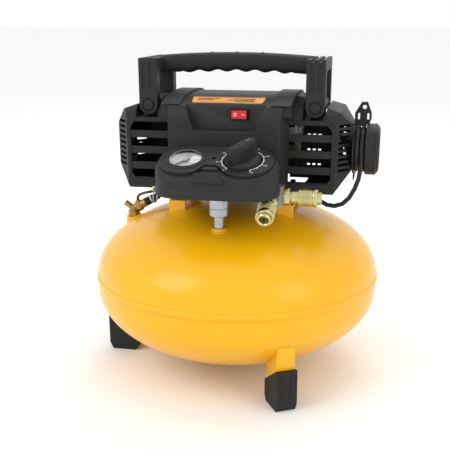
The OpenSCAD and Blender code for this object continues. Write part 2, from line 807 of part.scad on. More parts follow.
ridge_view = mirrored([[block_y - 14, 380], [block_y - 14, 391], [86, 395], [50, 404.5],
    [24, 407]]);
module recess(t) {
    ext_y([[-41 - t, 362 - t], [41 + t, 362 - t], [57 + t, 402], [-57 - t, 402]], -110, -79 + t);
}
module arm_pocket(t) {
    both_sides() box([arm_x - 16 - t, arm_x + 16 + t], [-70, 70], [373 - t, 420]);
}
module covers_form(t) {
    difference() {
        union() {
            intersection() {
                ext_y(end_view(t), -70, 70);
                ext_x(side_view(t), -180, 180);
                translate([0, 0, 200]) linear_extrude(height = 250) polygon(plan_view(t));
            }
            intersection() {
                ext_x(block_side(t), -90, 90);
                translate([0, 0, 200]) linear_extrude(height = 250) polygon(block_plan(t));
            }
            if (t == 0) both_sides() ext_x(ridge_view, 62, 88);
        }
        arm_pocket(t);
        recess(t);
    }
}
module arm_bosses() {
    both_sides() {
        rod_along_y(12, -34, 34, arm_x, pivot_z);
        box([arm_x - 8, arm_x + 8], [-34, 34], [372, pivot_z]);
    }
}
module covers() {
    difference() {
        union() {
            difference() {
                covers_form(0);
                covers_form(wall);
            }
            arm_bosses();
            both_sides() for (i = [0:3]) box([slat_x[0] - 1, slat_x[1] + 1],
                [-shroud_y + 1, -shroud_y + wall + blade_d],
                [slat_z0 + slat_pitch * i - 5, slat_z0 + slat_pitch * i - 1.5]);
        }
        both_sides() rod_along_y(4.1, -60, 60, arm_x, pivot_z);
        both_sides() for (i = [0:3]) {
            box(slat_x, [-shroud_y - 1, -shroud_y + 8],
                [slat_z0 + slat_pitch * i, slat_z0 + slat_pitch * i + slat_gap]);
            box(rear_slat_x, [shroud_y - 8, shroud_y + 1],
                [slat_z0 + slat_pitch * i + 4, slat_z0 + slat_pitch * i + 4 + rear_gap]);
        }
        both_ends() both_sides() {
            for (i = [0:8]) translate([157, -46, 306 + 7.5 * i]) rotate([0, 0, 53])
                cube([24, 14, 3.6], center = true);
        }
        box([-100, 100], [-54, 54], [shroud_z0 - 5, shroud_z0 + 6]);
        box([-70, 70], [-block_y + 3, block_y - 3], [shroud_z0 - 5, shroud_z0 + 10]);
        translate([-120.5, 42.5, 260]) cylinder(r = 9, h = 30);
        along([104, -40, 282], gland_at) translate([0, 0, -10]) cylinder(r = 7, h = 40);
        box([rocker_at[0] - 12, rocker_at[0] + 12], [-90, -60],
            [rocker_at[2] - 6.5, rocker_at[2] + 6.5]);
    }
}
module shroud_front() {
    color(black) intersection() {
        covers();
        box([-200, 200], [-150, 0], [200, 450]);
    }
}
module shroud_rear() {
    color(black) intersection() {
        covers();
        box([-200, 200], [0, 150], [200, 450]);
    }
}
module handle_ends() {
    foot_r = 14;
    color(black) both_sides() difference() {
        union() {
            both_ends() {
                hull() {
                    rod_along_y(foot_r - 1, -arm_y, -35, arm_x, pivot_z);
                    box([arm_x - 13, arm_x + 13], [-arm_y, -35], [pivot_z + 10, 440]);
                }
            }
            box([arm_x - 13, arm_x + 13], [-arm_y, arm_y], [434, 449]);
            box([arm_x - 13, arm_x - 7], [-arm_y, arm_y], [434, 452]);
            box([arm_x - 3, arm_x + 3], [-arm_y, arm_y], [434, 452]);
            box([arm_x + 7, arm_x + 13], [-arm_y, arm_y], [434, 452]);
        }
        rod_along_y(4.1, -60, 60, arm_x, pivot_z);
        both_ends() {
            box([arm_x - 8, arm_x - 2], [-arm_y - 1, -arm_y + 1.5], [411, 445]);
            box([arm_x + 2, arm_x + 8], [-arm_y - 1, -arm_y + 1.5], [411, 445]);
            rod_along_y(9, -arm_y - 1, -arm_y + 2, arm_x, pivot_z);
        }
        box([arm_x - 20, arm_x + 20], [-30, 30], [360, 436]);
        box([0, arm_x - 8], [-17.2, 17.2], [430, 470]);
    }
}
module handle_grip() {
    half = arm_x - 8;
    sag = 4.5;
    steps = 12;
    function arch(x) = grip_top - sag * pow(x / half, 2);
    bump = 1.6;
    color(black) intersection() {
        ext_y(concat([for (i = [-steps:steps]) [half * i / steps, arch(half * i / steps)]],
            [for (i = [36:-1:-36]) let (x = half * i / 36)
                [x, arch(x) - 25 + (abs(x) < 80 ? bump * cos(360 * x / 27) : 0)]]), -17, 17);
        union() {
            ext_x([[-17, 425], [-17, 445], [-11, 470], [11, 470], [17, 445], [17, 425]],
                -half, half);
        }
    }
}
module handle_bolts() {
    color(black) both_sides() {
        rod_along_y(4, -arm_y + 2, arm_y - 2, arm_x, pivot_z);
        both_ends() rod_along_y(7, -arm_y - 1, -arm_y + 2, arm_x, pivot_z);
    }
}

// ---- reel and cord ----
module at_reel() {
    translate([0, 0, reel_z]) children();
}
module cord_reel() {
    color(black) {
        at_reel() stadium_x(33, reel_a, reel_x, reel_x + flange_t);
        at_reel() stadium_x(coil_in_r - 0.3, reel_a, reel_x + flange_t, coil_x + coil_w - 0.1);
        // Plug holder: an upright plate with two blade slots and an earth pin hole.
        difference() {
            ext_y([[167, 355], [188, 355], [188, 366], [190, 371], [190, 379], [184, 394],
                [176, 394], [167, 379]], -2, 1);
            rod_along_y(2.8, -5, 5, 180, 387);
            box([171.2, 174], [-5, 5], [370, 378.5]);
            box([184, 186.8], [-5, 5], [370, 378.5]);
            at_reel() stadium_x(coil_r + 0.3, reel_a, reel_x + flange_t, 200);
            at_reel() stadium_x(cap_r + 0.3, reel_a, cap_x - 0.3, 200);
        }
        // Cradle that carries the plug behind the winding.
        box([reel_x, reel_x + 1.8], [6, 96], [283, 306]);
        box([reel_x, 196], [78, 96], [283, plug_at[2] - 11]);
        box([193.3, 196], [78, 96], [283, 295]);
    }
}
module reel_cap() {
    color(black) difference() {
        union() {
            at_reel() stadium_x(cap_r, reel_a, cap_x, cap_end - 4);
            at_reel() stadium_x(cap_r - 2.5, reel_a, cap_x, cap_end - 1.5);
            at_reel() stadium_x(cap_r - 5.5, reel_a, cap_x, cap_end);
        }
        at_reel() stadium_x(coil_r + 0.6, reel_a, cap_x - 1, coil_x + coil_w + 0.2);
    }
}
module cord_gland() {
    color(rubber) along([104, -40, 282], gland_at) {
        cylinder(r = 7, h = 10);
        translate([0, 0, 10])
            cylinder(r1 = 6, r2 = 4.6, h = norm(gland_at - [104, -40, 282]) - 10.5);
    }
}
module power_cord() {
    color(rubber) {
        tube(cord_route, cord_d / 2, [0, 1, 0]);
        tube(tail_route, cord_d / 2, [1, 0, 0]);
    }
}
module cord_coil() {
    color(rubber) at_reel() difference() {
        stadium_x(coil_r, reel_a, coil_x, coil_x + coil_w);
        stadium_x(coil_in_r, reel_a, coil_x - 1, coil_x + coil_w + 1);
    }
}
module cord_plug() {
    color(rubber) translate(plug_at) {
        translate([-12, 8, -11]) cube([24, 28, 22]);
        translate([0, 1.3, 0]) rotate([-90, 0, 0]) cylinder(r1 = 5, r2 = 8, h = 7);
    }
    color(brass) translate(plug_at) {
        for (s = [-1, 1]) translate([6.35 * s - 0.75, 36, -6]) cube([1.5, 17, 6.3]);
        translate([0, 36, 7]) rotate([-90, 0, 0]) cylinder(r = 2.4, h = 20);
    }
}

tank_upper_shell();
tank_lower_shell();
tank_bungs();
pump_saddles();
leg_brackets();
rubber_feet();
base_plate();
isolator_mounts();
crankcase();
crankshaft();
ball_bearings();
crank_pulley();
cooling_fan();
drive_belt();
rod_bearing();
connecting_rod();
piston_cup();
cylinder_barrel();
valve_plate();
cylinder_head();
head_bolts();
intake_filter();
armature();
motor_stator();
field_windings();
motor_end_cap();
outlet_hose();
hose_ferrules();
check_valve();
unloader_tube();
pressure_switch();
switch_rocker();
manifold();
manifold_riser();
regulator_body();
regulator_knob();
gauge_case();
gauge_dial();
gauge_needle();
gauge_lens();
relief_valve_body();
relief_stem();
relief_ring();
coupler_bodies();
coupler_front_sleeve();
coupler_right_sleeve();
drain_valve_body();
drain_knob();
console();
shroud_front();
shroud_rear();
handle_ends();
handle_grip();
handle_bolts();
cord_reel();
reel_cap();
cord_gland();
power_cord();
cord_coil();
cord_plug();
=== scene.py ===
"""Looks of the pancake air compressor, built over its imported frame. Lengths in the makers below are
millimetres in the frame's own axes (+X right, -Y front, +Z up) and become metres when a piece is made."""
import json
import math

import bmesh
import bpy
from mathutils import Matrix, Vector


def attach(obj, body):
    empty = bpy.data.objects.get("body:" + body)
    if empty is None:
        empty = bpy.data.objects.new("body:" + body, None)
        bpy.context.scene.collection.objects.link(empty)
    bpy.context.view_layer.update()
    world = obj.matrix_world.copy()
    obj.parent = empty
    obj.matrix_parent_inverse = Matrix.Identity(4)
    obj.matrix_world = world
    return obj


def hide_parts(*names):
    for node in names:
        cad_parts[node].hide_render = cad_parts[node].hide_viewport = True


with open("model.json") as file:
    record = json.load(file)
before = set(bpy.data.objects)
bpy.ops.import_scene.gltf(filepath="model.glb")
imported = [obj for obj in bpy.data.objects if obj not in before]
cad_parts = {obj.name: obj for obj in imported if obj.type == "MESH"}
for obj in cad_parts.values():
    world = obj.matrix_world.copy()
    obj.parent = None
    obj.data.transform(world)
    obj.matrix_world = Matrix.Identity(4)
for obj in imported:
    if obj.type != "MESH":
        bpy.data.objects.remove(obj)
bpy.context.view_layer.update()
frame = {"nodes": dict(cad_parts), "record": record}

MM = 0.001
BODY = {n: b for b, ns in frame["record"]["behaviour"]["bodies"].items() for n in ns}


# ---------------------------------------------------------------- shader arithmetic and finishes
class Signal:
    """A number that varies over a surface. Python arithmetic on it adds Math nodes."""

    def __init__(self, finish, socket):
        self.finish, self.socket = finish, socket

    def _op(self, kind, *values):
        return self.finish.node("ShaderNodeMath", {"operation": kind}, dict(enumerate(values)))

    def __add__(self, other):
        return self._op("ADD", self, other)

    __radd__ = __add__

    def __mul__(self, other):
        return self._op("MULTIPLY", self, other)

    __rmul__ = __mul__

    def lerp(self, low, high):
        return self.finish.node("ShaderNodeMapRange", {}, {"Value": self, "To Min": low, "To Max": high})


class Finish:
    """One surface finish: a Principled shader plus the nodes that vary it."""

    def __init__(self, name, colour, roughness, metallic=0.0, slot=None, **constants):
        self.material = bpy.data.materials.new(name)
        self.material.use_nodes = True
        self.tree = self.material.node_tree
        self.tree.nodes.clear()
        self.slot = slot
        self.colour = colour
        self.shader = self.tree.nodes.new("ShaderNodeBsdfPrincipled")
        self.output = self.tree.nodes.new("ShaderNodeOutputMaterial")
        self.tree.links.new(self.shader.outputs[0], self.output.inputs[0])
        self.set("Base Color", (*colour, 1))
        self.set("Roughness", roughness)
        self.set("Metallic", metallic)
        for socket, value in constants.items():
            self.set(socket.replace("_", " "), value)
        self.material.diffuse_color = (*colour, 1)

    def _feed(self, socket, value):
        if isinstance(value, Signal):
            value = value.socket
        if isinstance(value, bpy.types.NodeSocket):
            self.tree.links.new(value, socket)
        else:
            socket.default_value = value

    def set(self, socket, value):
        self._feed(self.shader.inputs[socket], value)
        return self

    def node(self, kind, settings, inputs, out=0):
        made = self.tree.nodes.new(kind)
        for key, value in settings.items():
            setattr(made, key, value)
        for key, value in inputs.items():
            self._feed(made.inputs[key], value)
        return Signal(self, made.outputs[out])

    def place(self, scale=(1, 1, 1), turn=(0, 0, 0), shift=(0, 0, 0)):
        """Object coordinates in metres, shifted, turned and scaled."""
        here = self.node("ShaderNodeTexCoord", {}, {}, "Object")
        return self.node("ShaderNodeMapping", {}, {"Vector": here, "Scale": scale, "Rotation": turn,
                                                   "Location": shift})

    def grain(self, scale, detail=2.0, rough=0.5, at=None):
        return self.node("ShaderNodeTexNoise", {}, {"Vector": at or self.place(), "Scale": scale,
                                                    "Detail": detail, "Roughness": rough})

    def cells(self, scale, at=None, feature="F1"):
        return self.node("ShaderNodeTexVoronoi", {"feature": feature}, {"Vector": at or self.place(),
                                                                       "Scale": scale})

    def blend(self, mask, low, high):
        """Two colours mixed by a mask; either may be a link."""
        tones = [(*c, 1) if isinstance(c, tuple) else c for c in (low, high)]
        return self.node("ShaderNodeMix", {"data_type": "RGBA"}, {0: mask, 6: tones[0], 7: tones[1]}, 2)

    def relief(self, height, strength, depth=0.0004):
        self.set("Normal", self.node("ShaderNodeBump", {}, {"Height": height, "Strength": strength,
                                                            "Distance": depth}))
        return self


def srgb(r, g, b):
    return tuple(((c / 255 + 0.055) / 1.055) ** 2.4 if c > 10 else c / 255 / 12.92 for c in (r, g, b))


def powder_coat():
    f = Finish("tank_powder_coat", srgb(240, 176, 4), 0.3, slot="tank_paint", Coat_Weight=0.22,
               Coat_Roughness=0.14, Specular_IOR_Level=0.32)
    cloud = f.grain(7, 3)
    f.set("Base Color", f.blend(cloud, srgb(232, 168, 3), srgb(243, 181, 7)))
    f.set("Roughness", f.grain(60, 2).lerp(0.24, 0.36))
    peel = f.grain(420, 2, 0.6) + f.grain(1300, 1, 0.5) * 0.35
    return f.relief(peel, 0.12, 0.0003)


def moulded_black(name, tone, slot, gloss=0.48, texture=0.5):
    f = Finish(name, tone, gloss, slot=slot, Specular_IOR_Level=0.3)
    cloud = f.grain(14, 3)
    f.set("Base Color", f.blend(cloud, tuple(c * 0.86 for c in tone), tuple(c * 1.16 for c in tone)))
    f.set("Roughness", f.grain(90, 3).lerp(gloss - 0.05, gloss + 0.1))
    stipple = f.cells(1500) + f.grain(2600, 2, 0.6) * 0.6
    return f.relief(stipple, texture, 0.00012)


def rubber(name, tone, slot, gloss=0.6):
    f = Finish(name, tone, gloss, slot=slot, Specular_IOR_Level=0.35)
    f.set("Base Color", f.blend(f.grain(22, 4), tuple(c * 0.8 for c in tone), tuple(c * 1.3 for c in tone)))
    f.set("Roughness", f.grain(70, 2).lerp(gloss - 0.06, gloss + 0.12))
    return f.relief(f.grain(900, 3, 0.6), 0.25, 0.0002)


def turned_metal(name, dark, light, slot, rough=0.24, ring=5200.0):
    f = Finish(name, light, rough, 1.0, slot=slot)
    f.set("Base Color", f.blend(f.grain(45, 3), dark, light))
    streak = f.grain(ring * 0.1, 3, 0.6)
    f.set("Roughness", streak.lerp(rough - 0.06, rough + 0.12))
    return f.relief(f.grain(ring * 0.3, 2, 0.5), 0.12, 0.0001)


def cast_metal(name, dark, light, slot, rough=0.45):
    f = Finish(name, light, rough, 0.9, slot=slot)
    f.set("Base Color", f.blend(f.grain(30, 4), dark, light))
    f.set("Roughness", f.grain(50, 3).lerp(rough - 0.08, rough + 0.15))
    return f.relief(f.grain(700, 3, 0.65) + f.cells(520) * 0.5, 0.4, 0.0002)


FINISH = {
    "tank_paint": powder_coat(),
    "black_plastic": moulded_black("moulded_black_nylon", srgb(33, 33, 34), "black_plastic", 0.52),
    "soft_grip": moulded_black("grip_elastomer", srgb(28, 28, 29), "soft_grip", 0.6, 0.8),
    "rubber": rubber("black_rubber", srgb(26, 26, 28), "rubber"),
    "cord_jacket": rubber("cord_jacket_rubber", srgb(30, 30, 32), "cord_jacket", 0.5),
    "brass": turned_metal("pale_brass", srgb(176, 168, 112), srgb(224, 218, 172), "brass"),
    "cast_aluminium": cast_metal("cast_aluminium", srgb(132, 134, 138), srgb(178, 180, 184),
                                 "cast_aluminium"),
    "steel": turned_metal("zinc_plated_steel", srgb(150, 152, 156), srgb(200, 202, 206), "steel", 0.3),
    "copper_wire": turned_metal("enamelled_copper", srgb(150, 78, 40), srgb(196, 112, 62),
                                "copper_wire", 0.35),
    "red_plastic": moulded_black("red_rocker_plastic", srgb(206, 40, 48), "red_plastic", 0.3, 0.1),
    "gauge_face": moulded_black("gauge_white_enamel", srgb(232, 233, 230), "gauge_face", 0.5, 0.05),
    "ptfe": moulded_black("filled_ptfe", srgb(104, 84, 66), "ptfe", 0.4, 0.2),
}
GLASS = Finish("clear_lens", (1, 1, 1), 0.04, slot="lens", Transmission_Weight=1.0, IOR=1.46, Alpha=1.0)
GLASS.set("Roughness", GLASS.grain(40, 2).lerp(0.02, 0.06))
FINISH["lens"] = GLASS
OLD_BRASS = turned_metal("cast_brass", srgb(138, 104, 52), srgb(196, 162, 102), "brass", 0.34)
PRINT = moulded_black("white_print", srgb(232, 232, 230), "gauge_face", 0.5, 0.02)
INK = moulded_black("black_ink", srgb(22, 22, 24), "black_plastic", 0.5, 0.02)
LABEL = moulded_black("amber_label", srgb(226, 158, 84), "gauge_face", 0.4, 0.03)
LABEL_INK = moulded_black("label_ink", srgb(60, 42, 26), "black_plastic", 0.45, 0.02)


# ---------------------------------------------------------------- makers
def finished(name, bm, body, finish, replaces=(), smooth=35.0, round_edges=0.0, rounds=2, scale=MM):
    """Turns a bmesh in millimetres into a piece in metres that rides on its body."""
    bmesh.ops.scale(bm, vec=(scale,) * 3, verts=bm.verts)
    mesh = bpy.data.meshes.new(name)
    bm.to_mesh(mesh)
    bm.free()
    mesh.shade_smooth()
    mesh.set_sharp_from_angle(angle=math.radians(smooth))
    piece = bpy.data.objects.new(name, mesh)
    bpy.context.scene.collection.objects.link(piece)
    mesh.materials.append(finish.material)
    if round_edges:
        soften(piece, round_edges, rounds)
    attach(piece, body)
    if replaces:
        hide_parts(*replaces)
    return piece


def soften(piece, width, rounds=2, angle=32.0):
    edge = piece.modifiers.new("rounded_edges", "BEVEL")
    edge.width = width * MM
    edge.segments = rounds
    edge.profile = 0.5
    edge.limit_method = "ANGLE"
    edge.angle_limit = math.radians(angle)
    edge.harden_normals = True
    edge.use_clamp_overlap = True
    edge.miter_outer = "MITER_ARC"
    return piece


def dressed(node, finish, width=0.8, rounds=2, flat=1.0, angle=32.0):
    """A CAD node's own shape with its moulded or machined edges rounded."""
    bm = bmesh.new()
    bm.from_mesh(frame["nodes"][node].data)
    bmesh.ops.remove_doubles(bm, verts=bm.verts, dist=2e-6)
    bmesh.ops.dissolve_limit(bm, angle_limit=math.radians(flat), use_dissolve_boundaries=False,
                             verts=bm.verts, edges=bm.edges)
    piece = finished(node + "_dressed", bm, BODY[node], finish, [node], scale=1.0)
    return soften(piece, width, rounds, angle)


# ---------------------------------------------------------------- room, lights and camera
def room():
    bm = bmesh.new()
    bmesh.ops.create_grid(bm, x_segments=4, y_segments=4, size=30000)
    bmesh.ops.scale(bm, vec=(MM,) * 3, verts=bm.verts)
    mesh = bpy.data.meshes.new("studio_floor")
    bm.to_mesh(mesh)
    bm.free()
    floor = bpy.data.objects.new("studio_floor", mesh)
    bpy.context.scene.collection.objects.link(floor)
    pale = Finish("studio_white", (0.93, 0.93, 0.93), 0.85)
    pale.set("Base Color", pale.blend(pale.grain(1.5, 2), (0.92, 0.92, 0.92), (0.94, 0.94, 0.94)))
    mesh.materials.append(pale.material)
    world = bpy.data.worlds.new("studio_air")
    world.use_nodes = True
    world.node_tree.nodes["Background"].inputs[0].default_value = (1, 1, 1, 1)
    world.node_tree.nodes["Background"].inputs[1].default_value = 1.0
    bpy.context.scene.world = world
    bpy.context.scene.view_settings.view_transform = "Standard"


def softbox(name, at, aim, size, power):
    data = bpy.data.lights.new(name, "AREA")
    data.shape, data.size, data.size_y, data.energy = "RECTANGLE", size[0], size[1], power
    light = bpy.data.objects.new(name, data)
    bpy.context.scene.collection.objects.link(light)
    light.location = at
    light.rotation_euler = (Vector(aim) - Vector(at)).to_track_quat("-Z", "Y").to_euler()


def lights():
    softbox("key_left", (-1.6, -1.5, 1.9), (0, 0, 0.25), (1.4, 1.4), 20)
    softbox("fill_right", (1.9, -1.2, 1.2), (0, 0, 0.25), (1.2, 1.6), 8)
    softbox("back_top", (0.3, 1.6, 2.2), (0, 0, 0.3), (1.8, 1.0), 16)


def camera():
    """Stands 1.2 m off, a little to the right of the front and above it."""
    turn, tilt, reach = math.radians(11.0), math.radians(17.7), 1.215
    look = Vector((-math.sin(turn) * math.cos(tilt), math.cos(turn) * math.cos(tilt), -math.sin(tilt)))
    data = bpy.data.cameras.new("front_camera")
    data.sensor_width, data.lens = 36.0, 64.0
    data.shift_x, data.shift_y = -0.0273, 0.0969
    data.clip_start, data.clip_end = 0.05, 50
    view = bpy.data.objects.new("front_camera", data)
    view.location = Vector((0, 0, 0.141)) - look * reach
    view.rotation_euler = look.to_track_quat("-Z", "Y").to_euler()
    bpy.context.scene.collection.objects.link(view)
    bpy.context.scene.camera = view


def place(bm, *moves):
    """Carries a whole bmesh by one or more matrices, the first of them last."""
    for move in reversed(moves):
        bmesh.ops.transform(bm, matrix=move, verts=bm.verts)
    return bm


def at(x=0.0, y=0.0, z=0.0):
    return Matrix.Translation((x, y, z))


def turn(degrees, axis):
    return Matrix.Rotation(math.radians(degrees), 4, axis)


def join(first, *others):
    for other in others:
        carried = bpy.data.meshes.new("joined")
        other.to_mesh(carried)
        other.free()
        first.from_mesh(carried)
        bpy.data.meshes.remove(carried)
    return first


def loop(bm, points):
    verts = [bm.verts.new(p) for p in points]
    return [bm.edges.new((a, b)) for a, b in zip(verts, verts[1:] + verts[:1])]


def lathe(profile, steps=96, closed=False):
    """A profile of (radius, height) spun round Z."""
    bm = bmesh.new()
    verts = [bm.verts.new((r, 0, z)) for r, z in profile]
    edges = [bm.edges.new(pair) for pair in zip(verts, verts[1:])]
    if closed:
        edges.append(bm.edges.new((verts[-1], verts[0])))
    bmesh.ops.spin(bm, geom=verts + edges, cent=(0, 0, 0), axis=(0, 0, 1), dvec=(0, 0, 0),
                   angle=2 * math.pi, steps=steps, use_merge=True)
    bmesh.ops.remove_doubles(bm, verts=bm.verts, dist=1e-4)
    bmesh.ops.recalc_face_normals(bm, faces=bm.faces)
    return bm


def plate(outer, z0, z1, holes=()):
    """A flat plate of any outline, pierced by holes, between two heights."""
    bm = bmesh.new()
    edges = []
    for ring in (outer, *holes):
        edges += loop(bm, [(x, y, z0) for x, y in ring])
    bmesh.ops.triangle_fill(bm, use_beauty=True, use_dissolve=False, edges=edges)
    grown = bmesh.ops.extrude_face_region(bm, geom=list(bm.faces))["geom"]
    moved = [v for v in grown if isinstance(v, bmesh.types.BMVert)]
    bmesh.ops.translate(bm, vec=(0, 0, z1 - z0), verts=moved)
    bmesh.ops.recalc_face_normals(bm, faces=bm.faces)
    return bm


def skin(rows, cap_first=True, cap_last=True, ring=False):
    """Closed loops of points bridged one to the next."""
    bm = bmesh.new()
    loops = [loop(bm, row) for row in rows]
    for low, high in zip(loops, loops[1:] + ([loops[0]] if ring else [])):
        bmesh.ops.bridge_loops(bm, edges=low + high)
    for wanted, edges in ((cap_first, loops[0]), (cap_last, loops[-1])):
        if wanted and not ring:
            bmesh.ops.edgeloop_fill(bm, edges=edges)
    bmesh.ops.recalc_face_normals(bm, faces=bm.faces)
    return bm


def block(size, centre=(0, 0, 0)):
    bm = bmesh.new()
    bmesh.ops.create_cube(bm, size=1.0)
    bmesh.ops.scale(bm, vec=size, verts=bm.verts)
    bmesh.ops.translate(bm, vec=centre, verts=bm.verts)
    return bm


def stadium(radius, straight, arc=18):
    """Outline of two half circles joined by straights along X."""
    points = []
    for centre, start in ((straight, -90), (-straight, 90)):
        for i in range(arc + 1):
            a = math.radians(start + 180 * i / arc)
            points.append((centre + radius * math.cos(a), radius * math.sin(a)))
    return points


def circle(radius, x=0.0, y=0.0, steps=48):
    return [(x + radius * math.cos(2 * math.pi * i / steps), y + radius * math.sin(2 * math.pi * i / steps))
            for i in range(steps)]


def tube(name, route, radius, body, finish, replaces=(), rounds=4):
    """A round cord or hose as a curve of one spline, millimetres in, metres out."""
    line = bpy.data.curves.new(name, "CURVE")
    line.dimensions = "3D"
    line.bevel_depth = radius * MM
    line.bevel_resolution = rounds
    line.use_fill_caps = True
    spline = line.splines.new("POLY")
    spline.points.add(len(route) - 1)
    for point, p in zip(spline.points, route):
        point.co = (p[0] * MM, p[1] * MM, p[2] * MM, 1)
    spline.use_smooth = True
    piece = bpy.data.objects.new(name, line)
    bpy.context.scene.collection.objects.link(piece)
    line.materials.append(finish.material)
    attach(piece, body)
    if replaces:
        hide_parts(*replaces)
    return piece


def rounded(route, steps=4):
    """The same route with every leg split along a smooth Catmull-Rom line."""
    pts = [Vector(p) for p in route]
    pts = [2 * pts[0] - pts[1]] + pts + [2 * pts[-1] - pts[-2]]
    out = []
    for a, b, c, d in zip(pts, pts[1:], pts[2:], pts[3:]):
        for i in range(steps):
            t = i / steps
            out.append(0.5 * (2 * b + (c - a) * t + (2 * a - 5 * b + 4 * c - d) * t * t
                              + (3 * b - a - 3 * c + d) * t ** 3))
    return [tuple(p) for p in out] + [tuple(pts[-2])]


def numeral(text, size, thick=0.12):
    """A dial number as a mesh, centred, lying in the XY plane, in millimetres."""
    curve = bpy.data.curves.new("numeral", "FONT")
    curve.body, curve.size, curve.extrude = text, size, thick
    curve.align_x, curve.align_y = "CENTER", "CENTER"
    holder = bpy.data.objects.new("numeral", curve)
    bpy.context.scene.collection.objects.link(holder)
    mesh = bpy.data.meshes.new_from_object(holder.evaluated_get(bpy.context.evaluated_depsgraph_get()))
    bm = bmesh.new()
    bm.from_mesh(mesh)
    bpy.data.objects.remove(holder)
    bpy.data.curves.remove(curve)
    bpy.data.meshes.remove(mesh)
    return bm


# ---------------------------------------------------------------- tank
SHELL_R, SHELL_T, HEAD_H = 207.5, 2.0, 105.0
UPPER_Z, LOWER_Z = 145.5, 122.5
RISER_X, RISER_Y = -2.5, -116.0


def head_curve(radius, depth, base, side, steps=36):
    angles = [math.pi / 2 * i / steps for i in range(steps + 1)]
    return [(radius * math.cos(a), base + side * depth * math.sin(a)) for a in angles]


def tank():
    upper = list(reversed(head_curve(SHELL_R, HEAD_H, UPPER_Z, 1)))
    upper += [(207.9, 145.3), (209.0, 144.6), (209.4, 143.8), (209.4, 137.6), (209.0, 136.8), (208.4, 136.5),
              (207.7, 136.5), (207.7, 145.0)]
    upper += head_curve(SHELL_R - SHELL_T, HEAD_H - SHELL_T, UPPER_Z, 1)
    finished("tank_upper_head", lathe(upper, 144), "compressor", FINISH["tank_paint"],
             ["tank_upper_shell"], smooth=50)
    lower = [(207.5, 144)] + head_curve(SHELL_R, HEAD_H, LOWER_Z, -1)
    lower += list(reversed(head_curve(SHELL_R - SHELL_T, HEAD_H - SHELL_T, LOWER_Z, -1))) + [(205.5, 144)]
    finished("tank_lower_head", lathe(lower, 144, closed=True), "compressor", FINISH["tank_paint"],
             ["tank_lower_shell"], smooth=50)
    bead = [(208.0 + 1.1 * math.cos(a), 136.2 + 1.0 * math.sin(a))
            for a in [math.pi * 2 * i / 10 for i in range(10)]]
    finished("seam_weld", lathe(bead, 144, closed=True), "compressor", FINISH["tank_paint"], smooth=80)


def weld_rings():
    """Fillet welds round the bungs."""
    rings = []
    for x, y, z, tilt, hole in ((RISER_X, RISER_Y, 232.5, 19, 9), (-165, 15, 208.7, 34, 12)):
        fillet = [(hole, 1.6), (hole + 1.2, 1.1), (hole + 2.4, 0.2), (hole + 2.4, -1.5), (hole, -1.5)]
        ring = lathe(fillet, 40, closed=True)
        lean = Vector((x, y, 0)).normalized().cross(Vector((0, 0, 1)))
        rings.append(place(ring, at(x, y, z), Matrix.Rotation(math.radians(-tilt), 4, lean)))
    finished("bung_welds", join(*rings), "compressor", FINISH["tank_paint"], smooth=60)


# ---------------------------------------------------------------- console, gauge and knob
FACE = at(0, -138, 331) @ turn(20, "X")
GAUGE_X, KNOB_X = -41.5, 34.0


def arc_points(cx, cy, radius, start, end, steps):
    angles = [math.radians(start + (end - start) * i / steps) for i in range(steps + 1)]
    return [(cx + radius * math.cos(a), cy + radius * math.sin(a)) for a in angles]


def console_shell():
    slope = math.tan(math.radians(20))
    rows = []
    for inset, height in ((1.4, 286.0), (0.3, 286.6), (0.0, 287.8), (0.0, 295.6), (0.9, 296.6), (1.0, 298.0)):
        rows.append([(x, y - 138, height) for x, y in stadium(41 - inset, 41, 22)])
    for inset, drop in ((1.0, 9.5), (1.5, 7.4), (2.7, 5.6), (4.6, 4.6), (6.6, 4.3)):
        rows.append([(x, y - 138, 331 + slope * y - drop) for x, y in stadium(41 - inset, 41, 22)])
    bm = skin(rows, False, False)
    rim = [e for e in bm.edges if e.is_boundary and e.verts[0].co.z > 305]
    for x, radius in ((GAUGE_X, 23.6), (KNOB_X, 14.0)):
        rim += loop(bm, [FACE @ at(x) @ Vector((*p, -4.04)) for p in circle(radius)])
    bmesh.ops.triangle_fill(bm, use_beauty=True, use_dissolve=False, edges=rim)
    bmesh.ops.recalc_face_normals(bm, faces=bm.faces)
    shell = finished("console_shell", bm, "compressor", FINISH["black_plastic"], ["console"], smooth=50)
    wall = shell.modifiers.new("wall", "SOLIDIFY")
    wall.thickness, wall.offset = 2.4 * MM, -1.0


def console_top():
    outline = arc_points(GAUGE_X, 0, 35, -57, -270, 34) + arc_points(38, 0, 36.5, 90, -124, 34)
    outline += [(1.7, -12.5), (-13.7, -12.5)]
    top = plate(outline, -5.5, 0.4, [circle(23.2, GAUGE_X), circle(24.8, KNOB_X), circle(2.5, -4.5, 4, 20)])
    finished("console_face", place(top, FACE), "compressor", FINISH["black_plastic"], round_edges=1.6,
             rounds=3, smooth=40)
    steps = plate([(-13.9, -13), (2.0, -13), (6.6, -21), (-17.8, -21)], -7, -2.2)
    relief = plate([(-24, 308.5), (18.5, 308.5), (12, 320.5), (-21, 320.5)], 0, 4)
    place(relief, at(0, -176.8, 0), turn(90, "X"))
    finished("console_steps", join(place(steps, FACE), relief), "compressor", FINISH["black_plastic"],
             round_edges=0.8)
    floor = plate(circle(25.2, steps=64), -5.2, -3.0, [circle(12.4)])
    lip = lathe([(23.3, -2.0), (23.3, 1.0), (23.9, 1.8), (25.6, 1.9), (26.8, 1.2), (27.4, 0.0), (27.4, -2.0)],
                80, closed=True)
    finished("console_rings", join(place(floor, FACE, at(KNOB_X)), place(lip, FACE, at(GAUGE_X))),
             "compressor", FINISH["black_plastic"], smooth=45)


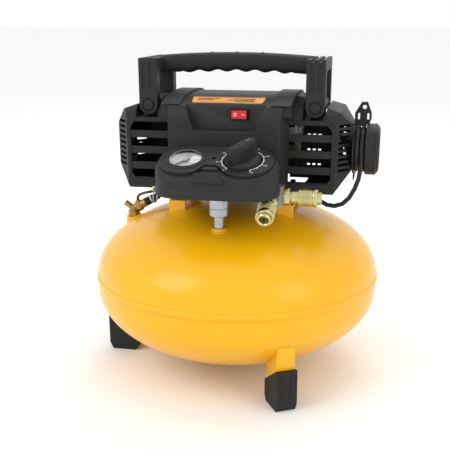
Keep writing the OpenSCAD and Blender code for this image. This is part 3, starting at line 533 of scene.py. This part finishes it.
def print_marks():
    """White printed scale round the knob: an open ring, ticks and pressure numbers."""
    marks = []
    band = bmesh.new()
    corner = loop(band, [(26.6, 0, 0.35), (27.4, 0, 0.35), (27.4, 0, 0.6), (26.6, 0, 0.6)])
    first = Matrix.Rotation(math.radians(-62), 3, "Z")
    bmesh.ops.rotate(band, cent=(0, 0, 0), matrix=first, verts=band.verts)
    bmesh.ops.spin(band, geom=list(band.verts) + corner, cent=(0, 0, 0), axis=(0, 0, 1), dvec=(0, 0, 0),
                   angle=math.radians(294), steps=90)
    bmesh.ops.recalc_face_normals(band, faces=band.faces)
    marks.append(band)
    for i in range(15):
        a = 232 - 294 * i / 14
        long = i % 2 == 0
        reach = 3.2 if long else 1.8
        marks.append(place(block((reach, 0.7, 0.25), (27.2 + reach / 2, 0, 0.47)), turn(a, "Z")))
        if long:
            marks.append(place(numeral(str(25 * (i // 2)), 3.2), at(33.0 * math.cos(math.radians(a)),
                                                                 33.0 * math.sin(math.radians(a)), 0.42)))
    finished("knob_scale", place(join(*marks), FACE, at(KNOB_X)), "compressor", PRINT, smooth=30)


def knob():
    skirt = [(0, -2.2), (23.2, -2.2), (23.9, -1.6), (23.9, 1.0), (23.4, 3.2), (22.0, 5.0),
             (19.5, 6.0), (0, 6.5)]
    dial = lathe(skirt, 72)
    rows = [[(x, y, z) for x, y in stadium(r, a, 12)] for z, r, a in
            ((2, 10.4, 13.0), (5.5, 9.7, 14.6), (8, 9.3, 15.8), (17, 8.5, 15.6), (21.5, 8.0, 15.2),
             (23.6, 7.0, 14.6), (24.7, 5.4, 13.6), (25.0, 3.4, 12.4))]
    bar = place(skin(rows), turn(55, "Z"))
    ribs = [place(block((1.5, 1.5, 11), (x, s * 8.9, 13)), turn(55, "Z"))
            for x in (-10, -5, 0, 5, 10) for s in (-1, 1)]
    place(dial, FACE, at(KNOB_X))
    finished("knob_skirt", dial, "knob", FINISH["black_plastic"], ["regulator_knob"], smooth=40)
    finished("knob_bar", place(join(bar, *ribs), FACE, at(KNOB_X)), "knob", FINISH["soft_grip"],
             round_edges=0.4, smooth=40)
    line = place(block((7, 1.3, 0.4), (11.5, 0, 24.8)), turn(55, "Z"))
    finished("knob_pointer", place(line, FACE, at(KNOB_X)), "knob", PRINT)


def gauge():
    finished("dial_plate", place(lathe([(0, -4.9), (21.2, -4.9), (21.3, -4.6), (21.2, -4.3), (0, -4.3)], 80),
                                 FACE, at(GAUGE_X)), "compressor", FINISH["gauge_face"], ["gauge_dial"])
    marks = []
    for i in range(41):
        a = 225 - 270 * i / 40
        major = i % 10 == 0
        size = (3.4, 0.5, 0.12) if major else (2.2, 0.32, 0.12) if i % 5 == 0 else (1.5, 0.22, 0.12)
        marks.append(place(block(size, (19.6 - size[0] / 2, 0, -4.25)), turn(a, "Z")))
        if major:
            marks.append(place(numeral(str(5 * i), 3.6), at(12.6 * math.cos(math.radians(a)),
                                                          12.6 * math.sin(math.radians(a)), -4.3)))
    finished("dial_print", place(join(*marks), FACE, at(GAUGE_X)), "compressor", INK)
    hub = lathe([(0, -1.0), (1.6, -1.1), (2.5, -1.7), (2.6, -2.6), (0, -2.6)], 32)
    finished("needle_hub", place(hub, FACE, at(GAUGE_X)), "needle", FINISH["steel"])
    dressed("gauge_needle", FINISH["black_plastic"], 0.1, 1)
    bezel = lathe([(21.6, -4.0), (21.6, 1.6), (22.0, 2.3), (23.2, 2.6), (24.1, 2.2), (24.4, 1.2), (24.4, 0),
                   (22.9, 0), (22.9, -20), (6, -20.5), (6, -42), (0, -42), (0, -5.2),
                   (20, -5.2)], 80, closed=True)
    finished("gauge_bezel", place(bezel, FACE, at(GAUGE_X)), "compressor", FINISH["black_plastic"],
             ["gauge_case"], smooth=40)
    lens = lathe([(0, 0.2), (21.5, 0.2), (21.5, 1.2), (18, 1.5), (0, 1.8)], 80)
    finished("gauge_glass", place(lens, FACE, at(GAUGE_X)), "compressor", FINISH["lens"], ["gauge_lens"])


# ---------------------------------------------------------------- covers, switch and handle
def front_plane(y):
    """Carries a plate drawn in X and Z onto a wall that faces the front."""
    return at(0, y, 0) @ turn(90, "X")


def cover_trim():
    panel = plate([(-70, 280), (70, 280), (70, 364), (67.5, 369.5), (62, 372), (51.5, 372), (45, 359.5),
                   (-45, 359.5), (-51.5, 372), (-62, 372), (-67.5, 369.5), (-70, 364)], 0, 1.3)
    finished("front_panel", place(panel, front_plane(-96.8)), "compressor", FINISH["black_plastic"],
             round_edges=0.7)
    frames = []
    for side in (-1, 1):
        outer = [(77.5, 281), (137, 281), (145.5, 291), (145.5, 363), (137, 373), (77.5, 373)]
        inner = [(80.2, 287.6), (133.5, 287.6), (140.2, 295), (140.2, 359), (133.5, 368.4), (80.2, 368.4)]
        ring = plate([(side * x, z) for x, z in outer], 0, 1.6, [[(side * x, z) for x, z in inner]])
        frames.append(place(ring, front_plane(-59.8)))
    finished("vent_frames", join(*frames), "compressor", FINISH["black_plastic"], round_edges=0.8)


def vent_shade_screens():
    """Fine dark inner sheets behind the rear openings, pierced by rows of small square holes; they are
    painted shade, standing in for the dark inside of the cover.
    """
    screens = []
    for side in (-1, 1):
        for i in range(4):
            low = 287 + 22 * i
            outer = [(side * 85, low), (side * 122, low), (side * 122, low + 16), (side * 85, low + 16)]
            holes = []
            for k in range(3):
                x = 96 + 8 * k
                near, far = side * x, side * (x + 4.4)
                holes.append([(near, low + 6.3), (far, low + 6.3), (far, low + 9), (near, low + 9)])
            screens.append(place(plate(outer, 0, 0.7, holes), front_plane(56.8)))
    # painted shade: black sheets that block the view into the cover so the vents read dark
    finished("rear_shade_screens", join(*screens), "compressor", FINISH["black_plastic"])


def top_nubs():
    """Small rubber stops at the rear end of the two ridges."""
    stops = [place(lathe([(0, 3.2), (2.6, 3.0), (3.4, 2.2), (3.6, -2), (0, -2)], 24), at(x, 20, 404))
             for x in (-75, 75)]
    finished("ridge_stops", join(*stops), "compressor", FINISH["rubber"], smooth=40)


def label():
    tilt = math.degrees(math.atan2(9, 37))
    base = plate([(-46, -11.5), (46, -11.5), (48, -9.5), (50, 9.5), (48, 11.5), (-48, 11.5), (-50, 9.5),
                  (-48, -9.5)], 0.0, 0.7)
    lie = at(0, -63.5, 398.75) @ turn(tilt, "X")
    finished("top_label", place(base, lie), "compressor", LABEL, round_edges=0.25)
    lines = [block((94, 0.6, 0.2), (0, s * 9.6, 0.75)) for s in (-1, 1)]
    lines += [block((w, 2.2, 0.2), (x, y, 0.75)) for w, x, y in
              ((30, -27, 3.6), (22, -31, -1.2), (30, 22, 3.6), (38, 18, -1.2), (26, 24, -5.6))]
    finished("label_print", place(join(*lines), lie), "compressor", LABEL_INK)


def rocker():
    dressed("switch_rocker", FINISH["red_plastic"], 0.6, 3)
    seat = at(19, -74, 382) @ turn(-6, "Z")
    ring = place(lathe([(1.6, 0), (2.3, 0), (2.3, 0.3), (1.6, 0.3)], 28, closed=True),
                 seat, at(-5.6, -7.75, 0), turn(10.8, "Z"), turn(90, "X"))
    stroke = place(block((4.4, 0.7, 0.3), (0, 0, 0.15)), seat, at(5.6, -7.75, 0), turn(-10.8, "Z"),
                   turn(90, "X"))
    finished("rocker_marks", join(ring, stroke), "rocker", PRINT)
    outer = [(-13.4, -8.2), (13.4, -8.2), (13.4, 8.2), (-13.4, 8.2)]
    inner = [(-11.8, -6.3), (11.8, -6.3), (11.8, 6.3), (-11.8, 6.3)]
    surround = plate(outer, 0, 1.6, [inner])
    finished("rocker_surround", place(surround, at(19, -78.6, 382), turn(90, "X")), "compressor",
             FINISH["black_plastic"], round_edges=0.6)


def grip():
    rows = []
    half, steps = 108.0, 72
    for i in range(steps + 1):
        x = -half + 2 * half * i / steps
        top = 458.8 - 4.5 * (x / half) ** 2
        low = top - 25 + (1.6 * math.cos(2 * math.pi * x / 27) if abs(x) < 81 else 0)
        middle, rise = (top + low) / 2, (top - low) / 2
        row = []
        for k in range(28):
            a = 2 * math.pi * (k + 0.5) / 28
            c, s = math.cos(a), math.sin(a)
            y = 16.8 * math.copysign(abs(c) ** 0.62, c) * (1 - 0.16 * max(0.0, s) ** 2)
            row.append((x, y, middle + rise * math.copysign(abs(s) ** 0.62, s)))
        rows.append(row)
    finished("carry_grip", skin(rows), "compressor", FINISH["soft_grip"], ["handle_grip"], smooth=48)
    ribs = [block((1.4, 17, 1.0), (x, 0, 458.9 - 4.5 * (x / half) ** 2)) for x in (-36, 0, 36)]
    finished("grip_marks", join(*ribs), "compressor", FINISH["black_plastic"], round_edges=0.3)


def screws():
    heads = []
    for x, y, z in ((-128, 60, 281), (128, 60, 281), (-128, 60, 375), (-72, 97, 285), (72, 97, 285),
                    (-72, 97, 372), (72, 97, 372)):
        head = lathe([(1.5, 0.4), (1.5, 2.4), (3.4, 2.4), (4.0, 1.9), (4.2, 0.8), (4.2, -1), (0, -1),
                      (0, 0.4)], 24)
        heads.append(place(head, at(x, y, z), turn(-90, "X")))
    finished("cover_screws", join(*heads), "compressor", FINISH["steel"], smooth=40)


# ---------------------------------------------------------------- air fittings
def sleeve(name, body, node, stand):
    outer = [(11.3, 20.0), (12.1, 20.6), (12.2, 22.6), (11.4, 23.3)]
    for i in range(4):
        z = 25.0 + 3.0 * i
        outer += [(11.4, z), (12.0, z + 0.5), (12.0, z + 1.8), (11.4, z + 2.3)]
    outer += [(11.4, 38.6), (12.0, 39.6), (12.2, 40.4), (12.2, 43.6), (11.6, 44.8), (10.6, 45.0), (9.1, 44.4),
              (9.1, 20.0)]
    finished(name, place(lathe(outer, 72, closed=True), stand), body, FINISH["brass"], [node], smooth=28)


def couplers():
    front = at(67, -124, 279) @ turn(110, "X")
    right = at(84, -115, 281) @ turn(90, "Y")
    sleeve("front_sleeve", "front_sleeve", "coupler_front_sleeve", front)
    sleeve("right_sleeve", "right_sleeve", "coupler_right_sleeve", right)
    bodies = []
    for stand in (front, right):
        hexagon = plate(circle(12, steps=6), 0, 9)
        corners = [e for e in hexagon.edges if e.calc_face_angle(0) > 0.5]
        bmesh.ops.bevel(hexagon, geom=corners, offset=0.6, affect="EDGES", segments=2, profile=0.5,
                        material=-1, clamp_overlap=True)
        barrel = [(3.0, 8.0), (3.0, 32), (6.05, 32), (6.05, 49.2), (6.7, 50.0), (8.3, 50.0), (8.95, 49.2),
                  (8.95, 12), (8.0, 10.5), (8.0, 8.0)]
        stem = lathe([(5.5, -4), (5.5, 1), (3, 1), (3, -4)], 32, closed=True)
        bodies += [place(hexagon, stand), place(lathe(barrel, 64, closed=True), stand), place(stem, stand)]
    finished("coupler_barrels", join(*bodies), "compressor", FINISH["brass"], ["coupler_bodies"], smooth=28)


REEL_Z = 329.0
REEL = at(0, 0, REEL_Z) @ Matrix(((0, 0, 1, 0), (1, 0, 0, 0), (0, 1, 0, 0), (0, 0, 0, 1)))


def reel():
    """Winding reel: its stepped outer cap with a rounded skirt, and the spool behind it."""
    rows = [[(x, y, z) for x, y in stadium(r, 10, 22)] for r, z in
            ((32.6, 197.9), (33.4, 196.9), (34.0, 197.2), (34.0, 198.3), (33.2, 199.4), (31.4, 199.9),
             (31.2, 201.2), (30.4, 202.0), (28.4, 202.2), (28.0, 202.9), (26.6, 203.0))]
    cap = skin(rows)
    skirt = skin([[(x, y, z) for x, y in stadium(r, 10, 22)] for r, z in
                  ((32.3, 185.0), (33.9, 184.6), (34.0, 185.4), (34.0, 198.0), (32.3, 198.0))], ring=True)
    finished("reel_cap_moulding", place(join(cap, skirt), REEL), "compressor", FINISH["black_plastic"],
             ["reel_cap"], smooth=38)
    dressed("cord_reel", FINISH["black_plastic"], 0.7, 2)


# ---------------------------------------------------------------- cord, coil and plug
CORD_D = 6.4
LEAD = [(118, -40, 268), (125.5, -40.5, 261), (135, -42, 256), (146, -44, 255), (157, -46, 259),
        (166, -47, 268), (173, -46.5, 281), (177.5, -44, 294), (179.5, -41, 307), (179.9, -39, 318),
        (179.9, -38.4, 329)]
TAIL = [(172.9, 38.4, 329), (173.2, 39.3, 322), (174.2, 42.1, 315), (175.6, 46.8, 308.4), (177.4, 53.2, 303),
        (179.3, 60.6, 299.4), (181, 68.4, 298)]
TURNS = [(179.9, 28.4), (186.9, 28.4), (193.9, 28.4), (193.9, 22), (186.9, 22), (179.9, 22),
         (172.9, 22), (172.9, 28.4)]


def on_turn(share, radius, straight=10.0):
    """A point of one turn: from the front, up, over the top, down the rear and back below."""
    way = share * (2 * math.pi * radius + 4 * straight)
    quarter = math.pi * radius / 2
    if way < quarter:
        a = math.pi - way / radius
        return -straight + radius * math.cos(a), radius * math.sin(a)
    way -= quarter
    if way < 2 * straight:
        return way - straight, radius
    way -= 2 * straight
    if way < 2 * quarter:
        a = math.pi / 2 - way / radius
        return straight + radius * math.cos(a), radius * math.sin(a)
    way -= 2 * quarter
    if way < 2 * straight:
        return straight - way, -radius
    a = -math.pi / 2 - (way - 2 * straight) / radius
    return -straight + radius * math.cos(a), radius * math.sin(a)


def winding(steps=40):
    """Seven and a half turns, each easing over to the next place near its end."""
    points = []
    for k, (x, radius) in enumerate(TURNS):
        last = k == len(TURNS) - 1
        for i in range(steps):
            share = i / steps
            if last and share >= 0.5:
                break
            ease = 0.0 if last else min(1.0, max(0.0, (share - 0.62) / 0.3))
            ease = ease * ease * (3 - 2 * ease)
            after = TURNS[k if last else k + 1]
            r = radius + (after[1] - radius) * ease
            y, z = on_turn(share, r)
            points.append((x + (after[0] - x) * ease, y, REEL_Z + z))
    return points


def cord(plug):
    """The mains lead: out of its relief, up into the reel, seven and a half turns, down to the plug."""
    route = LEAD[:-1] + winding() + TAIL
    line = tube("mains_cord", route, CORD_D / 2, "compressor", FINISH["cord_jacket"],
                ["power_cord", "cord_coil"])


def along(p, q):
    """Carries local Z onto the line from p to q."""
    way = Vector(q) - Vector(p)
    return Matrix.Translation(p) @ way.to_track_quat("Z", "Y").to_matrix().to_4x4()


def cord_relief():
    """Ribbed, tapered sleeve that carries the cord out of the cover."""
    start, end = (104, -40, 282), (118, -40, 268)
    ribs = [(3.3, -3.0), (6.9, -3.0), (6.9, 8.8), (6.2, 9.6)]
    for i in range(7):
        z, r = 10.4 + 2.5 * i, 6.1 - 0.36 * i
        ribs += [(r - 1.0, z), (r - 1.0, z + 0.6), (r, z + 0.9), (r, z + 2.0)]
    ribs += [(3.6, 28.0), (3.3, 28.0)]
    finished("cord_relief", place(lathe(ribs, 28, closed=True), along(start, end)), "compressor",
             FINISH["cord_jacket"], ["cord_gland"], smooth=40)


def mains_plug():
    px, py, pz = 181, 68.4, 298
    rows = []
    for y, w, h in ((1.3, 4.6, 4.6), (4.0, 5.6, 5.6), (6.5, 7.0, 6.8), (9.0, 9.6, 8.4), (12.0, 11.2, 9.8),
                    (15.0, 10.4, 9.4), (22.0, 10.2, 9.6), (27.0, 11.4, 10.6), (30.0, 12.0, 11.0),
                    (35.0, 12.0, 11.0), (36.0, 11.3, 10.3)):
        power = 0.95 if y < 7 else 0.6
        rows.append([(px + w * math.copysign(abs(math.cos(a)) ** power, math.cos(a)), py + y,
                      pz + h * math.copysign(abs(math.sin(a)) ** power, math.sin(a)))
                     for a in [2 * math.pi * (k + 0.5) / 32 for k in range(32)]])
    ridges = [block((1.2, 1.2, 12), (px + s * 10.3, py + y, pz)) for s in (-1, 1) for y in (16, 19, 22, 25)]
    body = finished("plug_body", join(skin(rows), *ridges), "compressor", FINISH["cord_jacket"],
                    ["cord_plug"], smooth=40)
    blades = [block((1.5, 19, 6.3), (px + s * 6.35, py + 44.0, pz - 2.85)) for s in (-1, 1)]
    pin = place(lathe([(0, 0), (2.4, 0), (2.4, 19.4), (1.9, 21.0), (0, 21.8)], 24), at(px, py + 34.2, pz + 7),
                turn(-90, "X"))
    prongs = finished("plug_prongs", join(pin, *blades), "compressor", FINISH["brass"], round_edges=0.3)
    return [body, prongs]


# ---------------------------------------------------------------- hoses and riser
HOSE = [(-69, 72.9, 324), (-69, 63.5, 324), (-72, 56, 323), (-80, 50, 321), (-91, 49.5, 317), (-102, 50, 310),
        (-111, 50, 300), (-116, 47.5, 287), (-118.5, 41, 275), (-119.5, 32, 262), (-122, 22.5, 252),
        (-126.5, 16.6, 245.6), (-131.8, 15, 242.2), (-145, 15, 235)]
SMALL_TUBE = [(-158, 15, 238.1), (-158, 14.5, 242.5), (-152, 5, 248), (-140, -14, 255),
              (-124, -34, 262), (-106, -48, 268), (-84, -51, 276), (-60, -53, 290), (-36, -56, 306),
              (-12, -60, 322), (4, -62, 332), (8, -62, 341)]


def hoses():
    tube("pump_hose", rounded(HOSE), 5.2, "compressor", FINISH["rubber"], ["outlet_hose"])
    tube("unloader_line", rounded(SMALL_TUBE), 2.0, "compressor", FINISH["black_plastic"], ["unloader_tube"])
    head = lathe([(5.25, 0), (5.8, 0), (6.1, 0.4), (6.1, 2), (5.6, 2.5), (5.6, 3.4), (6.1, 3.9), (6.1, 8.6),
                  (5.8, 9), (5.25, 9)], 40, closed=True)
    band = lathe([(6.1, 9.4), (6.6, 9.6), (6.6, 12.4), (6.1, 12.6)], 40, closed=True)
    place(head, along(HOSE[0], HOSE[1]))
    place(band, along(HOSE[-1], HOSE[-2]))
    finished("hose_crimps", join(head, band), "compressor", FINISH["steel"], ["hose_ferrules"], smooth=30)
    cuff = lathe([(5.25, 0), (5.9, 0), (6.4, 0.5), (6.4, 6), (5.8, 6.5), (5.8, 7.5), (6.2, 8), (6.2, 13.6),
                  (5.8, 14), (5.25, 14)], 40, closed=True)
    finished("hose_cuff", place(cuff, along(HOSE[-1], HOSE[-2])), "compressor", FINISH["rubber"], smooth=30)


def riser():
    """Steel riser from the tank to the manifold: a narrow neck below a grooved cup."""
    profile = [(2.5, 224), (6, 224), (6, 234.9), (6.6, 235.1), (7, 235.7), (7, 251.8), (11.9, 252),
               (12.7, 252.8), (12.7, 262), (12.3, 262.4), (12.3, 263.2), (12.7, 263.6), (12.7, 277.4),
               (12.1, 278), (6, 278), (6, 284), (2.5, 284)]
    finished("riser_tube", place(lathe(profile, 72, closed=True), at(RISER_X, RISER_Y, 0)), "compressor",
             FINISH["steel"], ["manifold_riser"], smooth=30)


# ---------------------------------------------------------------- everything together
SLOT = {s["node"]: s["material_slot"] for s in frame["record"]["subparts"]}
EDGE = {"rubber_feet": (2.2, 3), "handle_ends": (1.8, 3), "shroud_front": (1.0, 2), "shroud_rear": (1.0, 2),
        "leg_brackets": (1.2, 2), "pump_saddles": (1.0, 2), "handle_bolts": (0.8, 2), "relief_ring": (0.1, 1)}
WORN = {"check_valve": OLD_BRASS, "drain_valve_body": OLD_BRASS}
MODELLED = {"tank_upper_shell", "tank_lower_shell", "console", "regulator_knob", "gauge_dial", "gauge_case",
            "gauge_lens", "gauge_needle", "switch_rocker", "handle_grip", "coupler_front_sleeve",
            "coupler_right_sleeve", "coupler_bodies", "reel_cap", "cord_reel", "power_cord", "cord_coil",
            "cord_gland", "cord_plug", "outlet_hose", "unloader_tube", "hose_ferrules", "manifold_riser"}


def rest_of_the_parts():
    for node in frame["nodes"]:
        if node not in MODELLED:
            width, rounds = EDGE.get(node, (0.5, 2))
            dressed(node, WORN.get(node, FINISH[SLOT[node]]), width, rounds)


camera()
cord(mains_plug())
cord_relief()
lights()
room()
tank()
weld_rings()
console_shell()
console_top()
print_marks()
knob()
gauge()
cover_trim()
vent_shade_screens()
top_nubs()
label()
rocker()
grip()
screws()
couplers()
reel()
hoses()
riser()
rest_of_the_parts()
